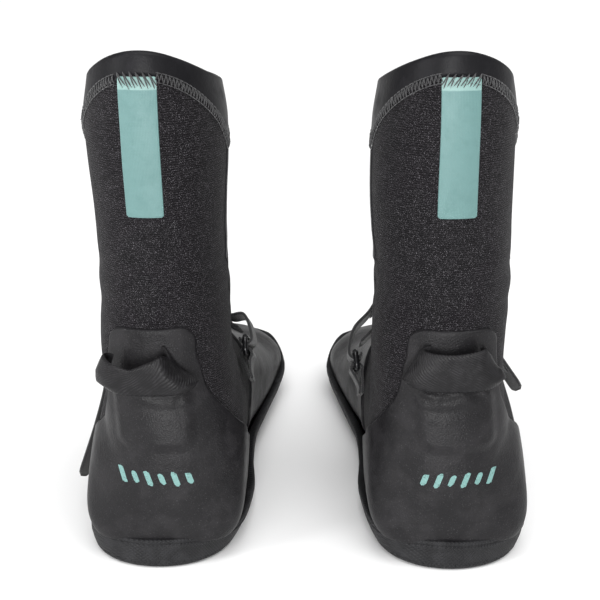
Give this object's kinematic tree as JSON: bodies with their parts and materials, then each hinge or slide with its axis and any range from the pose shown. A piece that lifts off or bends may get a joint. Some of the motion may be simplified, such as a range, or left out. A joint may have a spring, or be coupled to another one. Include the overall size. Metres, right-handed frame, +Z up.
{
  "type": "neoprene surf boots",
  "caption": "Pair of ankle-high neoprene surf boots with moulded rubber feet, smooth cuffs, an arch strap and a heel pull loop.",
  "frame": {"origin": "on the ground, under the middle of the pair's box", "axes": "+Z up, toes to -Y, the wearer's left boot at +X"},
  "size_m": [0.2636, 0.2814, 0.273],
  "materials": {
    "sole_rubber": "matt with a fine cast texture",
    "shell_rubber": "satin, finely pebbled",
    "knit_neoprene": "matt ribbed jersey over foam",
    "smooth_neoprene": "smooth skin with a soft sheen",
    "foam": "matt foam",
    "thread": "overlock stitching",
    "stripe_tape": "satin bonded tape",
    "webbing": "matt woven webbing",
    "pile_tape": "hook and loop pile",
    "plastic": "glossy moulded plastic"
  },
  "bodies": {
    "left_foot": {"left_outsole": "sole_rubber", "left_sole_panel": "knit_neoprene", "left_insole": "foam", "left_heel_panel": "knit_neoprene", "left_vamp_panel": "knit_neoprene", "left_heel_shell": "shell_rubber", "left_front_shell": "shell_rubber", "left_heel_patch": "shell_rubber", "left_ankle_band": "knit_neoprene", "left_strap_base": "webbing", "left_loop_tape": "pile_tape", "left_strap_anchor": "shell_rubber", "left_ring_anchor": "webbing"},
    "left_shaft": {"left_shaft_back_panel": "knit_neoprene", "left_shaft_front_panel": "knit_neoprene", "left_cuff": "smooth_neoprene", "left_cuff_stitching": "thread", "left_outer_seam_tape": "smooth_neoprene", "left_inner_seam_tape": "smooth_neoprene", "left_back_stripe": "stripe_tape"},
    "left_ring": {"left_strap_ring": "plastic"},
    "left_strap_end": {"left_strap_flap": "webbing", "left_hook_tape": "pile_tape"},
    "left_loop": {"left_heel_loop": "shell_rubber"},
    "right_foot": {"right_outsole": "sole_rubber", "right_sole_panel": "knit_neoprene", "right_insole": "foam", "right_heel_panel": "knit_neoprene", "right_vamp_panel": "knit_neoprene", "right_heel_shell": "shell_rubber", "right_front_shell": "shell_rubber", "right_heel_patch": "shell_rubber", "right_ankle_band": "knit_neoprene", "right_strap_base": "webbing", "right_loop_tape": "pile_tape", "right_strap_anchor": "shell_rubber", "right_ring_anchor": "webbing"},
    "right_shaft": {"right_shaft_back_panel": "knit_neoprene", "right_shaft_front_panel": "knit_neoprene", "right_cuff": "smooth_neoprene", "right_cuff_stitching": "thread", "right_outer_seam_tape": "smooth_neoprene", "right_inner_seam_tape": "smooth_neoprene", "right_back_stripe": "stripe_tape"},
    "right_ring": {"right_strap_ring": "plastic"},
    "right_strap_end": {"right_strap_flap": "webbing", "right_hook_tape": "pile_tape"},
    "right_loop": {"right_heel_loop": "shell_rubber"}
  },
  "joints": [
    {"name": "left_ankle_bend", "type": "hinge", "parent": "left_foot", "child": "left_shaft", "pos_m": [0.0734, 0.082, 0.148], "axis": [0.9996, -0.0297, 0], "range_deg": [-20, 25], "stiffness_Nm_per_rad": 1.5, "deforming": ["left_ankle_band"]},
    {"name": "left_ring_swing", "type": "hinge", "parent": "left_foot", "child": "left_ring", "pos_m": [0.0322, 0.0335, 0.0812], "axis": [-0.0272, -0.8656, -0.5], "range_deg": [0, 20]},
    {"name": "left_strap_peel", "type": "hinge", "parent": "left_ring", "child": "left_strap_end", "pos_m": [0.0321, 0.0287, 0.0895], "axis": [-0.0272, -0.8656, -0.5], "range_deg": [0, 40]},
    {"name": "left_loop_lift", "type": "hinge", "parent": "left_foot", "child": "left_loop", "pos_m": [0.0746, 0.1275, 0.1143], "axis": [0.9996, -0.0297, 0], "range_deg": [-30, 40], "stiffness_Nm_per_rad": 0.05, "deforming": ["left_heel_loop"]},
    {"name": "right_boot_lift", "type": "slide", "parent": "left_foot", "child": "right_foot", "axis": [0, 0, 1], "range_m": [0, 0.4]},
    {"name": "right_ankle_bend", "type": "hinge", "parent": "right_foot", "child": "right_shaft", "pos_m": [-0.0759, 0.0842, 0.148], "axis": [0.9994, 0.0349, 0], "range_deg": [-20, 25], "stiffness_Nm_per_rad": 1.5, "deforming": ["right_ankle_band"]},
    {"name": "right_ring_swing", "type": "hinge", "parent": "right_foot", "child": "right_ring", "pos_m": [-0.0327, 0.04, 0.0742], "axis": [-0.0102, 0.866, 0.4999], "range_deg": [0, 20]},
    {"name": "right_strap_peel", "type": "hinge", "parent": "right_ring", "child": "right_strap_end", "pos_m": [-0.0322, 0.0352, 0.0826], "axis": [-0.0102, 0.866, 0.4999], "range_deg": [0, 40]},
    {"name": "right_loop_lift", "type": "hinge", "parent": "right_foot", "child": "right_loop", "pos_m": [-0.0787, 0.1296, 0.117], "axis": [0.9994, 0.0349, 0], "range_deg": [-30, 40], "stiffness_Nm_per_rad": 0.05, "deforming": ["right_heel_loop"]}
  ]
}
